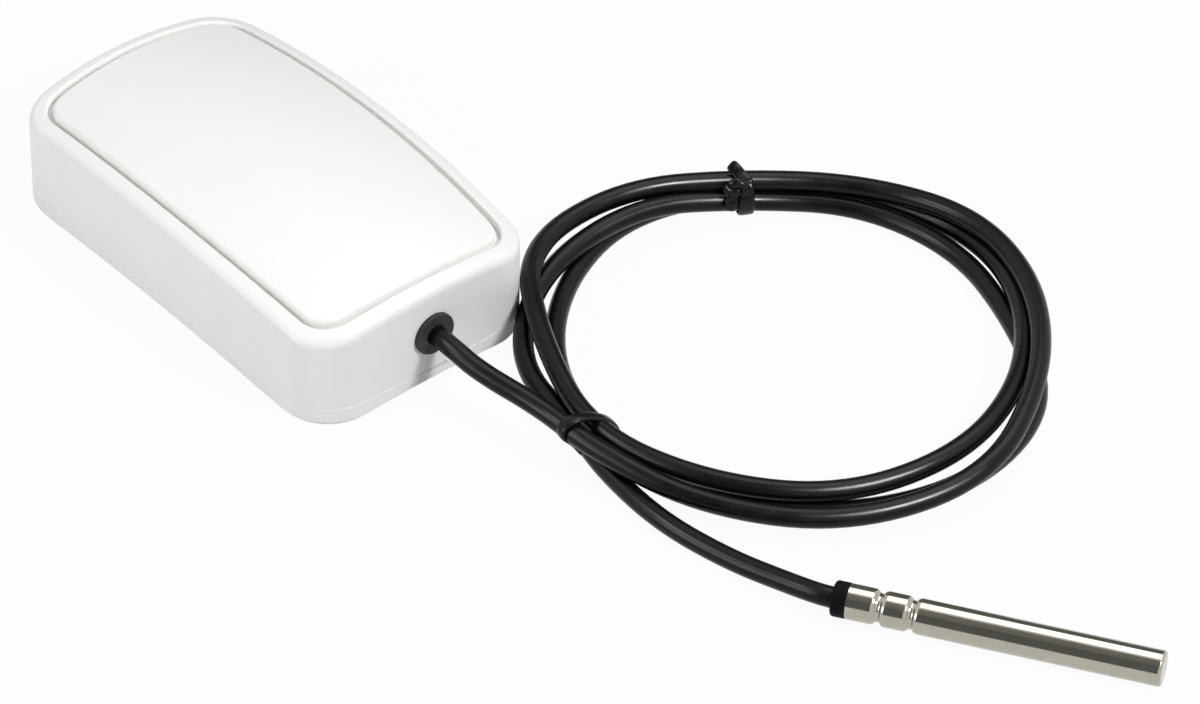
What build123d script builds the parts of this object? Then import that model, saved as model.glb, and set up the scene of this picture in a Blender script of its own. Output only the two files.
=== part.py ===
from build123d import *
import math
import os

# Wireless temperature sensor: a white two-part housing on four corner feet, with a
# coiled probe cable. Millimetres. The origin is at the bottom centre of the housing,
# the housing's length runs along Y and the cable leaves at the -Y end.

os.makedirs("parts", exist_ok=True)

# Housing shell
END_BOW = 1.25
SIDE_BOW = 1.45
CORNER_R = 9.15
CROWN_GAP = 0.376
CROWN_R_LONG = 222.3
CROWN_R_WIDE = 76.5
COVER_EDGE_R = 2.0
WALL = 2.0
WEB = 1.4

# Inset front panel
RIM = 3.05
RIM_EDGE_R = 0.5
SHADOW_GAP = 0.9
RECESS = 1.5
PANEL_EDGE_R = 0.9

# Base, its arched underside and the joint between the two shells
PARTING_Z = 3.6
TONGUE = 1.2
TONGUE_CLEARANCE = 0.15
SOLE_EDGE_R = 1.0
PARTING_EDGE_R = 0.2
ARCH_LONG_RISE = 2.7
ARCH_WIDE_RISE = 1.6
SOLE_LENGTH = 5.5
SOLE_WIDTH = 5.0
PRY_SLOT = (4.0, 1.0, 0.45)
PRY_SLOT_X = 0.9
SEAL_INSET = 0.55
SEAL_WIDTH = 0.9
SEAL_HEIGHT = 0.6
SEAL_CLEARANCE = 0.05

# Housing screws, from below into posts of the cover
POST_INSET_X = 6.0
POST_INSET_Y = 8.5
POST_GAP = 0.7
POST_D = 5.6
SCREW_D = 2.0
SCREW_LENGTH = 8.0
SCREW_HEAD_D = 4.4
SCREW_HEAD_H = 1.5
SCREW_SEAT_Z = 3.0
SOCKET_AF = 2.0
SOCKET_DEPTH = 0.8
PILOT_CLEARANCE = 0.05
SCREW_CLEARANCE = 0.8
HEAD_CLEARANCE = 0.5

# Cable and its way through the wall
CABLE_D = 3.6
GLAND_Z = 11.25
GROMMET_D = 7.9
GROMMET_LIP = 0.75
GROMMET_BODY_D = 6.0
GROMMET_INNER_LIP = 1.0
GROMMET_CLEARANCE = 0.05
LIP_CLEARANCE = 0.1
STOP_D = 6.4
STOP_LENGTH = 2.5
CABLE_INSIDE = 6.75

# Battery and its holder
CELL_D = 14.5
CELL_LENGTH = 49.2
NUB_D = 5.5
NUB_LENGTH = 1.3
CELL_ROOM = 2.85
CELL_CLEARANCE = 0.1
HOLDER_WALL = 1.8
HOLDER_END = 3.0
HOLDER_HEIGHT = 9.0
HOLDER_PIN_D = 1.8
HOLDER_PIN_H = 1.8
HOLDER_PIN_Y = 20.0
PIN_CLEARANCE = 0.1
CONTACT_T = 0.6
CONTACT_SIZE = 8.0
CONTACT_GAP = 1.4
ARM_H = 2.0
ARM_Z = 0.8
CONTACT_FOOT_W = 1.2
ARM_CLEARANCE = 0.2

# Circuit board and what is on it
BOARD_GAP = 1.35
BOARD_ROOM = 0.5
BOARD_W = 20.0
BOARD_L = 60.0
BOARD_T = 1.6
BOARD_Y = -0.5
STANDOFF_H = 3.0
STANDOFF_D = 4.6
BOARD_SCREW_D = 1.6
BOARD_SCREW_LENGTH = 4.8
BOARD_SCREW_HEAD_D = 3.6
BOARD_SCREW_HEAD_H = 1.3
BOARD_HOLE_CLEARANCE = 0.6
BOARD_SCREW_RIGHT = 3.2
BOARD_SCREW_LEFT = 3.6
BOARD_SCREW_NEAR = 3.1
BOARD_SCREW_INNER = 14.0
BOARD_SCREW_FAR = 6.9
RADIO_FROM_RIGHT = 7.5
RADIO_Y = 0.0
RADIO_BASE = (12.0, 16.0, 0.8)
RADIO_CAN = (10.6, 12.0, 1.8)
CHIP_FROM_RIGHT = 5.0
CHIP_Y = -15.5
CHIP_SIZE = (7.0, 7.0, 1.0)
CAPACITOR_FROM_RIGHT = 7.5
CAPACITOR_Y = 14.5
CAPACITOR_D = 6.3
CAPACITOR_H = 7.5
ANTENNA_FROM_LEFT = 4.5
ANTENNA_FROM_RIGHT = 2.0
ANTENNA_FROM_END = 2.4
ANTENNA_T = 0.6
ANTENNA_BAR_H = 3.0
ANTENNA_LEG_H = 3.8
ANTENNA_LEG_W = 1.6
ANTENNA_LEG_GAP = 2.6
TERMINAL_FROM_LEFT = 7.0
TERMINAL_FROM_END = 5.5
TERMINAL_SIZE = (7.6, 7.0, 8.0)
TERMINAL_PITCH = 3.8
TERMINAL_SCREW_D = 2.8
TERMINAL_SCREW_H = 2.4
TERMINAL_WELL_D = 3.0
TERMINAL_WELL_H = 3.4
WIRE_D = 1.2
WIRE_HOLE_D = 2.2
WIRE_HOLE_DEPTH = 4.0
WIRE_GRIP = 2.5

# Coil of cable on the floor, with its two ties. A tie stands at an angle round the coil,
# at its own radius, where the bundle narrows to a neck.
COIL_BEARING = -47.91
COIL_GAP = 1.42
COIL_R = 41.7
COIL_WIDTH = 9.6
COIL_HEIGHT = 7.2
COIL_EDGE_R = 3.2
TIE_T = 1.35
TIE_EDGE_R = 0.5
NECK_GAP = 3.4
NECK_LAP = 2.0
NECK_LIFT = 1.4
NECK_EDGE_R = 2.8
RING_TIE_ANGLE = 179.1
RING_TIE_OUT = 2.25
RING_NECK = (8.9, 6.4)
KNOT_TIE_ANGLE = 61.2
KNOT_TIE_OUT = -0.8
KNOT_NECK = (7.4, 6.4)
KNOT_LOOP_R = 1.5
KNOT_LOOP_T = 0.75
KNOT_LIFT = 0.9
KNOT_TAIL_L = 6.0
KNOT_TAIL_R = (0.75, 0.35)

# Free runs of the cable: points between the gland, the coil and the probe, as distances
# across, away from the end wall and up
GLAND_RUN = 7.75
GLAND_DROP = (4.6, 18.75, 6.3)
COIL_ENTRY_Z = 6.0
COIL_ENTRY_IN = 1.75
COIL_EXIT_Z = 2.4
COIL_EXIT_IN = 2.1
PROBE_RUN = [(5.3, 42.75, 1.8), (5.6, 54.75, 1.8), (8.2, 66.75, 1.8)]
PROBE_LAST_RUN = 6.0

# Probe: metal tube that lies on the floor, from the sleeve to its closed end
PROBE_START = (15.57, 87.36)
PROBE_ANGLE = -57.37
PROBE_D = 6.0
PROBE_LENGTH = 52.3
PROBE_WALL = 0.4
PROBE_TIP_R = 0.57
GROOVES = (5.2, 10.7)
GROOVE_DEPTH = 0.6
GROOVE_R = 0.65
GROOVE_EDGE_R = 1.0
SLEEVE_D = 6.0
SLEEVE_OUT = 2.6
SLEEVE_IN = 3.0
SLEEVE_EDGE_R = 0.5
PROBE_CABLE_IN = 4.0
PROBE_WIRE_D = 1.0
PROBE_WIRE_OFFSET = 0.85
BEAD_R = 1.5
BEAD_FROM_TIP = 3.4

# Sizes that follow from the ones above: the housing is as large as what it holds
PLATE_Z = PARTING_Z + TONGUE
CEILING = RECESS + WEB
CELL_TOTAL = CELL_LENGTH + NUB_LENGTH
HOLDER_W = CELL_D + 2 * (CELL_CLEARANCE + HOLDER_WALL)
CONTACT_Y = CELL_TOTAL / 2 + CONTACT_GAP + CONTACT_T
HOLDER_HALF = CONTACT_Y + HOLDER_END
POST_Y = max(HOLDER_HALF, BOARD_L / 2 + abs(BOARD_Y)) + POST_GAP + POST_D / 2
HALF_LENGTH = POST_Y + POST_INSET_Y
HALF_WIDTH = WALL + (CELL_ROOM + HOLDER_W + BOARD_GAP + BOARD_W + BOARD_ROOM) / 2
POST_X = HALF_WIDTH - POST_INSET_X
END_Y = HALF_LENGTH + END_BOW
CELL_X = -HALF_WIDTH + WALL + CELL_ROOM + HOLDER_W / 2
CELL_Z = PLATE_Z + CELL_D / 2 + CELL_CLEARANCE
CROWN_DROP = CELL_X**2 / (2 * CROWN_R_WIDE) + (CELL_TOTAL / 2) ** 2 / (2 * CROWN_R_LONG)
APEX_Z = CELL_Z + CELL_D / 2 + CROWN_DROP + CROWN_GAP + CEILING
TOP_LIMIT = APEX_Z + 5.0
BOARD_X0 = CELL_X + HOLDER_W / 2 + BOARD_GAP
BOARD_X1 = BOARD_X0 + BOARD_W
BOARD_Y0 = BOARD_Y - BOARD_L / 2
BOARD_Y1 = BOARD_Y + BOARD_L / 2
BOARD_Z = PLATE_Z + STANDOFF_H
BOARD_TOP = BOARD_Z + BOARD_T
BOARD_SCREWS = [
    (BOARD_X1 - BOARD_SCREW_RIGHT, BOARD_Y0 + BOARD_SCREW_NEAR),
    (BOARD_X1 - BOARD_SCREW_RIGHT, BOARD_Y1 - BOARD_SCREW_FAR),
    (BOARD_X0 + BOARD_SCREW_LEFT, BOARD_Y1 - BOARD_SCREW_FAR),
    (BOARD_X0 + BOARD_SCREW_LEFT, BOARD_Y0 + BOARD_SCREW_INNER),
]
RADIO_AT = (BOARD_X1 - RADIO_FROM_RIGHT, RADIO_Y)
CHIP_AT = (BOARD_X1 - CHIP_FROM_RIGHT, CHIP_Y)
CAPACITOR_AT = (BOARD_X1 - CAPACITOR_FROM_RIGHT, CAPACITOR_Y)
ANTENNA_X = (BOARD_X0 + ANTENNA_FROM_LEFT, BOARD_X1 - ANTENNA_FROM_RIGHT)
ANTENNA_Y = BOARD_Y1 - ANTENNA_FROM_END
TERMINAL_X = BOARD_X0 + TERMINAL_FROM_LEFT
TERMINAL_Y = BOARD_Y0 + TERMINAL_FROM_END
INNER_LIP_Y = -END_Y + WALL + LIP_CLEARANCE
STOP_Y = INNER_LIP_Y + GROMMET_INNER_LIP
PROBE_R = PROBE_D / 2
COIL_REACH = CORNER_R + COIL_GAP + COIL_R + COIL_WIDTH / 2
COIL_CENTRE = (
    HALF_WIDTH - CORNER_R + COIL_REACH * math.cos(math.radians(COIL_BEARING)),
    CORNER_R - HALF_LENGTH + COIL_REACH * math.sin(math.radians(COIL_BEARING)),
)

UPWARDS = (Align.CENTER, Align.CENTER, Align.MIN)
CENTRED = (Align.CENTER, Align.CENTER, Align.CENTER)


def bowed_outline(inset):
    """Return the face of the housing's outline, moved inwards by inset."""
    half_x = HALF_WIDTH - inset
    half_y = HALF_LENGTH - inset
    corners = [(half_x, -half_y), (half_x, half_y), (-half_x, half_y), (-half_x, -half_y)]
    middles = [
        (half_x + SIDE_BOW, 0),
        (0, half_y + END_BOW),
        (-half_x - SIDE_BOW, 0),
        (0, -half_y - END_BOW),
    ]
    sides = []
    for i in range(4):
        sides.append(ThreePointArc(corners[i], middles[i], corners[(i + 1) % 4]))
    face = make_face(sides)
    return fillet(face.vertices(), CORNER_R - inset)


def prism(inset, bottom, top):
    """Return the housing's outline, moved inwards by inset, as an upright prism."""
    return Pos(0, 0, bottom) * extrude(bowed_outline(inset), amount=top - bottom)


def dome(level):
    """Return the solid below the crowned top surface, with that surface moved by level."""
    reach = HALF_WIDTH + SIDE_BOW + 3.0
    radius = CROWN_R_WIDE + level
    side_z = APEX_Z - CROWN_R_WIDE + math.sqrt(radius**2 - reach**2)
    bottom_z = -APEX_Z
    arc = ThreePointArc((-reach, side_z), (0, APEX_Z + level), (reach, side_z))
    rest = Polyline((reach, side_z), (reach, bottom_z), (-reach, bottom_z), (-reach, side_z))
    face = Plane.XZ * make_face([arc, *rest.edges()])
    axis = Axis((0, 0, APEX_Z - CROWN_R_LONG), (1, 0, 0))
    swing = 2 * math.degrees(math.atan2(END_Y + 3.0, CROWN_R_LONG - 2 * APEX_Z))
    return revolve(face, axis, revolution_arc=swing).rotate(axis, -swing / 2)


def rim_face(shell):
    """Return the highest face of a shell that has a hole in it."""
    ringed = [face for face in shell.faces() if face.inner_wires()]
    return max(ringed, key=lambda face: face.center().Z)


def corner_points():
    """Return the four places of the housing screws."""
    return [(sx * POST_X, sy * POST_Y) for sx in (-1, 1) for sy in (-1, 1)]


def upright(x, y, z, diameter, height):
    """Return an upright cylinder that stands at a point."""
    return Pos(x, y, z) * Cylinder(diameter / 2, height, align=UPWARDS)


def block(x, y, z, size):
    """Return a box that stands with the middle of its underside at a point."""
    return Pos(x, y, z) * Box(*size, align=UPWARDS)


def along_y(x, y, z, diameter, length):
    """Return a cylinder along +Y that starts at a point."""
    return Pos(x, y, z) * (Rot(-90, 0, 0) * Cylinder(diameter / 2, length, align=UPWARDS))


def one(shape):
    """Return the single solid of a shape as a part."""
    solids = shape.solids()
    if len(solids) != 1:
        raise ValueError(f"expected one solid, found {len(solids)}")
    return Part() + solids[0]


def tube(points, diameter, bend_share=0.45):
    """Return a round tube through points, with tangent arcs at the turns.

    Args:
        points: where the runs start, turn and end.
        diameter: the tube's outside diameter.
        bend_share: the share of the shorter run beside a turn that its arc may use.
    """
    places = [Vector(*point) for point in points]
    radii = []
    for before, turn, after in zip(places, places[1:], places[2:]):
        first = turn - before
        second = after - turn
        half = math.radians(first.get_angle(second)) / 2
        radii.append(bend_share * min(first.length, second.length) / math.tan(half))
    path = FilletPolyline(*points, radius=radii)
    section = Plane(origin=path @ 0, z_dir=path % 0) * Circle(diameter / 2)
    print("tube", round(diameter, 2), "length", round(path.length, 1), [round(r, 1) for r in radii])
    return sweep(section, path=path)


def make_top_cover():
    """Return the upper shell with its recess, screw posts, seal groove and cable hole."""
    shell = prism(0, PARTING_Z, TOP_LIMIT) & dome(0)
    joint = min(shell.faces(), key=lambda face: face.center().Z)
    shell = fillet(joint.edges(), PARTING_EDGE_R)
    shell -= prism(RIM, PLATE_Z, TOP_LIMIT) - dome(-RECESS)
    shell = fillet(rim_face(shell).inner_wires()[0].edges(), RIM_EDGE_R)
    shell = fillet(rim_face(shell).outer_wire().edges(), COVER_EDGE_R)
    shell -= prism(WALL, 0, TOP_LIMIT) & dome(-CEILING)
    for x, y in corner_points():
        post = upright(x, y, PLATE_Z, POST_D, APEX_Z) & dome(-RECESS - WEB / 2)
        shell += post
        shell -= upright(x, y, PLATE_Z, SCREW_D + 2 * PILOT_CLEARANCE, SCREW_LENGTH)
    groove_top = PARTING_Z + SEAL_HEIGHT + SEAL_CLEARANCE
    groove = prism(SEAL_INSET - SEAL_CLEARANCE, 0, groove_top)
    groove -= prism(SEAL_INSET + SEAL_WIDTH + SEAL_CLEARANCE, 0, groove_top)
    shell -= groove
    hole_d = GROMMET_BODY_D + 2 * GROMMET_CLEARANCE
    shell -= along_y(0, -END_Y - WALL, GLAND_Z, hole_d, 3 * WALL)
    return one(shell)


def make_front_panel():
    """Return the inset plate that lies on the recess floor, flush with the crown."""
    panel = (prism(RIM + SHADOW_GAP, PLATE_Z, TOP_LIMIT) & dome(0)) - dome(-RECESS)
    crown = max(panel.faces(), key=lambda face: face.center().Z)
    return one(fillet(crown.edges(), PANEL_EDGE_R))


def make_base_cover():
    """Return the lower shell: arched flange, tongue, standoffs, pins and screw holes."""
    flange = prism(0, 0, PARTING_Z)
    sole = min(flange.faces(), key=lambda face: face.center().Z)
    base = fillet(sole.edges(), SOLE_EDGE_R)
    joint = max(base.faces(), key=lambda face: face.center().Z)
    base = fillet(joint.edges(), PARTING_EDGE_R)
    base += prism(WALL + TONGUE_CLEARANCE, PARTING_Z - SOLE_EDGE_R, PLATE_Z)
    long_half = HALF_LENGTH - SOLE_LENGTH
    wide_half = HALF_WIDTH - SOLE_WIDTH
    long_r = (long_half**2 + ARCH_LONG_RISE**2) / (2 * ARCH_LONG_RISE)
    wide_r = (wide_half**2 + ARCH_WIDE_RISE**2) / (2 * ARCH_WIDE_RISE)
    span = 3 * HALF_LENGTH
    base -= Pos(0, 0, ARCH_LONG_RISE - long_r) * (Rot(0, 90, 0) * Cylinder(long_r, span))
    base -= Pos(0, 0, ARCH_WIDE_RISE - wide_r) * (Rot(90, 0, 0) * Cylinder(wide_r, span))
    slot_w, slot_d, slot_h = PRY_SLOT
    base -= block(PRY_SLOT_X, -END_Y, PARTING_Z - slot_h, (slot_w, 2 * slot_d, slot_h))
    for x, y in corner_points():
        base -= upright(x, y, -1, SCREW_HEAD_D + HEAD_CLEARANCE, SCREW_SEAT_Z + 1)
        base -= upright(x, y, 0, SCREW_D + SCREW_CLEARANCE, PLATE_Z)
    for x, y in BOARD_SCREWS:
        base += upright(x, y, PLATE_Z - TONGUE / 2, STANDOFF_D, STANDOFF_H + TONGUE / 2)
        hole = BOARD_SCREW_D + 2 * PILOT_CLEARANCE
        depth = BOARD_SCREW_LENGTH - BOARD_T + TONGUE / 4
        base -= upright(x, y, BOARD_Z - depth, hole, depth)
    for x, y in holder_pins():
        base += upright(x, y, PLATE_Z - TONGUE / 2, HOLDER_PIN_D, HOLDER_PIN_H + TONGUE / 2)
    return one(base)


def make_cover_seal():
    """Return the flat seal ring between the shells."""
    top = PARTING_Z + SEAL_HEIGHT
    return one(prism(SEAL_INSET, PARTING_Z, top) - prism(SEAL_INSET + SEAL_WIDTH, PARTING_Z, top))


def socket_screw(x, y, seat_z, shaft_d, shaft_l, head_d, head_h, upwards):
    """Return a screw with a hexagon socket; upwards says which way its shaft points."""
    head = Cylinder(head_d / 2, head_h, align=(Align.CENTER, Align.CENTER, Align.MAX))
    head = fillet(head.edges().sort_by(Axis.Z)[:1], head_h / 5)
    socket = RegularPolygon(SOCKET_AF / 2, 6, major_radius=False)
    head -= Pos(0, 0, -head_h) * extrude(socket, amount=SOCKET_DEPTH)
    screw = head + Cylinder(shaft_d / 2, shaft_l, align=UPWARDS)
    turn = Rot(0, 0, 0) if upwards else Rot(180, 0, 0)
    return Pos(x, y, seat_z) * (turn * screw)


def make_housing_screws():
    """Return the four screws that hold the shells together."""
    screws = Part()
    for x, y in corner_points():
        screws += socket_screw(
            x, y, SCREW_SEAT_Z, SCREW_D, SCREW_LENGTH, SCREW_HEAD_D, SCREW_HEAD_H, True
        )
    return screws


def make_circuit_board():
    """Return the board with its screw holes."""
    board = block(BOARD_X0 + BOARD_W / 2, BOARD_Y, BOARD_Z, (BOARD_W, BOARD_L, BOARD_T))
    for x, y in BOARD_SCREWS:
        board -= upright(x, y, BOARD_Z, BOARD_SCREW_D + BOARD_HOLE_CLEARANCE, BOARD_T)
    return one(board)


def make_board_screws():
    """Return the four screws that hold the board on its standoffs."""
    screws = Part()
    for x, y in BOARD_SCREWS:
        screws += socket_screw(
            x,
            y,
            BOARD_TOP,
            BOARD_SCREW_D,
            BOARD_SCREW_LENGTH,
            BOARD_SCREW_HEAD_D,
            BOARD_SCREW_HEAD_H,
            False,
        )
    return screws


def make_radio_module():
    """Return the radio's carrier with its shield can."""
    x, y = RADIO_AT
    carrier = block(x, y, BOARD_TOP, RADIO_BASE)
    can = block(x, y, BOARD_TOP + RADIO_BASE[2], RADIO_CAN)
    can = fillet(can.edges().filter_by(Axis.Z), RADIO_CAN[2] / 3)
    return one(carrier + can)


def make_microcontroller():
    """Return the controller's package with its corner mark."""
    x, y = CHIP_AT
    chip = block(x, y, BOARD_TOP, CHIP_SIZE)
    dot_at = (x - CHIP_SIZE[0] / 3, y - CHIP_SIZE[1] / 3)
    chip -= upright(*dot_at, BOARD_TOP + CHIP_SIZE[2] * 0.8, CHIP_SIZE[2], CHIP_SIZE[2])
    return one(chip)


def make_reserve_capacitor():
    """Return the standing capacitor that helps the cell through a radio pulse."""
    can = upright(*CAPACITOR_AT, BOARD_TOP, CAPACITOR_D, CAPACITOR_H)
    return one(fillet(can.edges().sort_by(Axis.Z)[-1:], CAPACITOR_D / 12))


def make_antenna():
    """Return the upright antenna strip with its two legs on the board."""
    x0, x1 = ANTENNA_X
    bar_z = BOARD_TOP + ANTENNA_LEG_H
    strip = block((x0 + x1) / 2, ANTENNA_Y, bar_z, (x1 - x0, ANTENNA_T, ANTENNA_BAR_H))
    leg = (ANTENNA_LEG_W, ANTENNA_T, ANTENNA_LEG_H)
    for i in range(2):
        leg_x = x0 + ANTENNA_LEG_W / 2 + i * (ANTENNA_LEG_W + ANTENNA_LEG_GAP)
        strip += block(leg_x, ANTENNA_Y, BOARD_TOP, leg)
    return one(strip)


def terminal_xs():
    """Return where the two poles of the terminal block lie along X."""
    return [TERMINAL_X - TERMINAL_PITCH / 2, TERMINAL_X + TERMINAL_PITCH / 2]


def make_terminal_block():
    """Return the terminal block with its wire holes and screw wells."""
    body = block(TERMINAL_X, TERMINAL_Y, BOARD_TOP, TERMINAL_SIZE)
    front_y = TERMINAL_Y - TERMINAL_SIZE[1] / 2
    well_z = BOARD_TOP + TERMINAL_SIZE[2] - TERMINAL_WELL_H
    for x in terminal_xs():
        body -= along_y(x, front_y, GLAND_Z, WIRE_HOLE_D, WIRE_HOLE_DEPTH)
        body -= upright(x, TERMINAL_Y, well_z, TERMINAL_WELL_D, TERMINAL_WELL_H)
    return one(body)


def make_terminal_screws():
    """Return the two slotted clamp screws in the terminal block's wells."""
    screws = Part()
    well_z = BOARD_TOP + TERMINAL_SIZE[2] - TERMINAL_WELL_H
    slot = (TERMINAL_SCREW_D, TERMINAL_SCREW_H / 4, TERMINAL_SCREW_H / 2)
    for x in terminal_xs():
        screw = upright(x, TERMINAL_Y, well_z, TERMINAL_SCREW_D, TERMINAL_SCREW_H)
        screw -= block(x, TERMINAL_Y, well_z + TERMINAL_SCREW_H * 0.7, slot)
        screws += screw
    return screws


def make_battery_cell():
    """Return the cell, with its positive nub towards +Y."""
    start_y = -CELL_TOTAL / 2
    can = along_y(CELL_X, start_y, CELL_Z, CELL_D, CELL_LENGTH)
    can = fillet(can.edges().filter_by(GeomType.CIRCLE), CELL_D / 30)
    return one(can + along_y(CELL_X, start_y + CELL_LENGTH, CELL_Z, NUB_D, NUB_LENGTH))


def holder_pins():
    """Return where the base's pins hold the battery holder."""
    offset = CELL_D / 2 + CELL_CLEARANCE / 2
    return [(CELL_X + sx * offset, sy * HOLDER_PIN_Y) for sx in (-1, 1) for sy in (-1, 1)]


def make_battery_holder():
    """Return the trough that holds the cell, with notches for the contacts' arms."""
    trough = block(CELL_X, 0, PLATE_Z, (HOLDER_W, 2 * HOLDER_HALF, HOLDER_HEIGHT))
    room_d = CELL_D + 2 * CELL_CLEARANCE
    room_l = 2 * CONTACT_Y
    trough -= along_y(CELL_X, -room_l / 2, CELL_Z, room_d, room_l)
    trough -= block(CELL_X, 0, CELL_Z, (room_d, room_l, HOLDER_HEIGHT))
    for x, y in holder_pins():
        hole = HOLDER_PIN_D + 2 * PIN_CLEARANCE
        trough -= upright(x, y, PLATE_Z, hole, HOLDER_PIN_H + 2 * PIN_CLEARANCE)
    notch_h = HOLDER_HEIGHT
    notch_w = CONTACT_T + ARM_CLEARANCE
    notch_x = CELL_X + room_d / 2
    notch_z = BOARD_TOP + ARM_Z - ARM_CLEARANCE
    for sign in (-1, 1):
        notch_y = sign * (CONTACT_Y - notch_w / 2)
        trough -= block(notch_x, notch_y, notch_z, (4 * HOLDER_WALL, notch_w, notch_h))
    return one(trough)


def contact_plate(sign):
    """Return a contact's plate, its arm over the holder's wall and its foot on the board.

    Args:
        sign: 1 for the contact at the +Y end, -1 for the one at the -Y end.
    """
    y = sign * (CONTACT_Y - CONTACT_T / 2)
    plate = block(CELL_X, y, CELL_Z - CONTACT_SIZE / 2, (CONTACT_SIZE, CONTACT_T, CONTACT_SIZE))
    arm_z = BOARD_TOP + ARM_Z
    arm_end = BOARD_X0 + CONTACT_FOOT_W * 1.5
    arm_l = arm_end - CELL_X
    plate += block(CELL_X + arm_l / 2, y, arm_z, (arm_l, CONTACT_T, ARM_H))
    return plate + block(arm_end - CONTACT_FOOT_W / 2, y, BOARD_TOP, (CONTACT_FOOT_W, CONTACT_T, ARM_Z))


def make_positive_contact():
    """Return the contact with a round pad that meets the cell's nub."""
    pad_y = CELL_TOTAL / 2
    pad = along_y(CELL_X, pad_y, CELL_Z, NUB_D * 0.8, CONTACT_GAP + CONTACT_T / 2)
    return one(contact_plate(1) + pad)


def make_negative_contact():
    """Return the contact with two sprung fingers that meet the cell's flat end."""
    plate = contact_plate(-1)
    cell_y = -CELL_TOTAL / 2
    back_y = cell_y - CONTACT_GAP
    half = CONTACT_SIZE / 2
    crest = CONTACT_T / 2
    outline = Polyline(
        (-half, back_y - crest),
        (-half, back_y),
        (-crest, cell_y),
        (crest, cell_y),
        (half, back_y),
        (half, back_y - crest),
        (half - CONTACT_T, back_y - crest),
        (0, cell_y - CONTACT_T),
        (-half + CONTACT_T, back_y - crest),
        close=True,
    )
    bow = extrude(make_face(outline), amount=CONTACT_SIZE / 2)
    return one(plate + Pos(CELL_X, 0, CELL_Z - CONTACT_SIZE / 4) * bow)


def make_cable_grommet():
    """Return the rubber ring in the wall, with a lip on each side."""
    ring = along_y(0, -END_Y - GROMMET_LIP, GLAND_Z, GROMMET_D, GROMMET_LIP)
    ring = fillet(ring.edges().filter_by(GeomType.CIRCLE).sort_by(Axis.Y)[:1], GROMMET_LIP / 3)
    ring += along_y(0, -END_Y, GLAND_Z, GROMMET_BODY_D, INNER_LIP_Y + END_Y)
    ring += along_y(0, INNER_LIP_Y, GLAND_Z, GROMMET_D, GROMMET_INNER_LIP)
    bore = CABLE_D + 2 * GROMMET_CLEARANCE
    return one(ring - along_y(0, -END_Y - WALL, GLAND_Z, bore, 4 * WALL))


def make_inner_cable():
    """Return the cable from the wall's outer face to where its two wires come out."""
    return one(along_y(0, -END_Y, GLAND_Z, CABLE_D, CABLE_INSIDE))


def make_cable_stop():
    """Return the ring on the cable that keeps it from being pulled out."""
    ring = along_y(0, STOP_Y, GLAND_Z, STOP_D, STOP_LENGTH)
    return one(ring - along_y(0, STOP_Y, GLAND_Z, CABLE_D, STOP_LENGTH))


def make_sensor_wires():
    """Return the two wires from the cable's end into the terminal block."""
    start_y = -END_Y + CABLE_INSIDE
    front_y = TERMINAL_Y - TERMINAL_SIZE[1] / 2
    wires = Part()
    for i, x in enumerate(terminal_xs()):
        from_x = (2 * i - 1) * CABLE_D / 5
        points = [
            (from_x, start_y, GLAND_Z),
            (from_x, start_y + WIRE_D * (1.7 - 0.9 * i), GLAND_Z),
            (x, front_y - WIRE_D * (1.7 + 0.9 * i), GLAND_Z),
            (x, front_y + WIRE_GRIP, GLAND_Z),
        ]
        wires += tube(points, WIRE_D)
    return wires


def tie_plane(angle, outwards):
    """Return the upright plane across the bundle at a tie: x outwards, y up.

    Args:
        angle: the tie's place round the coil, in degrees.
        outwards: how far the neck there lies outside the middle of the coil's section.
    """
    turn = math.radians(angle)
    out = Vector(math.cos(turn), math.sin(turn), 0)
    origin = Vector(*COIL_CENTRE, 0) + out * (COIL_R + outwards)
    return Plane(origin=origin, x_dir=out, z_dir=Vector(math.sin(turn), -math.cos(turn), 0))


def neck_section(size, grow=0.0):
    """Return the rounded section of a neck, grown outwards on every side."""
    width, height = size
    outline = RectangleRounded(width + 2 * grow, height + 2 * grow, NECK_EDGE_R + grow)
    return Pos(0, NECK_LIFT + height / 2) * outline


def make_cable_coil():
    """Return the coiled turns as one ring that narrows to a neck at each tie."""
    section = Pos(COIL_R, COIL_HEIGHT / 2) * RectangleRounded(COIL_WIDTH, COIL_HEIGHT, COIL_EDGE_R)
    ring = revolve(Plane.XZ * section, Axis.Z)
    coil = Pos(*COIL_CENTRE, 0) * ring
    ties = [(RING_TIE_ANGLE, RING_TIE_OUT, RING_NECK), (KNOT_TIE_ANGLE, KNOT_TIE_OUT, KNOT_NECK)]
    for angle, outwards, neck in ties:
        plane = tie_plane(angle, outwards)
        coil -= plane * Box(3 * COIL_WIDTH, 3 * COIL_HEIGHT, NECK_GAP, align=CENTRED)
        reach = NECK_GAP / 2 + NECK_LAP
        coil += plane * extrude(neck_section(neck), amount=reach, both=True)
    return one(coil)


def tie_band(angle, outwards, neck):
    """Return a band round a neck, with its outer edges rounded."""
    face = neck_section(neck, TIE_T) - neck_section(neck)
    band = extrude(face, amount=TIE_T / 2, both=True)
    outer = [edge for wire in band.faces().filter_by(Plane.XY) for edge in wire.outer_wire().edges()]
    return tie_plane(angle, outwards) * fillet(outer, TIE_EDGE_R)


def make_ring_tie():
    """Return the plain band near the housing."""
    return one(tie_band(RING_TIE_ANGLE, RING_TIE_OUT, RING_NECK))


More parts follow.
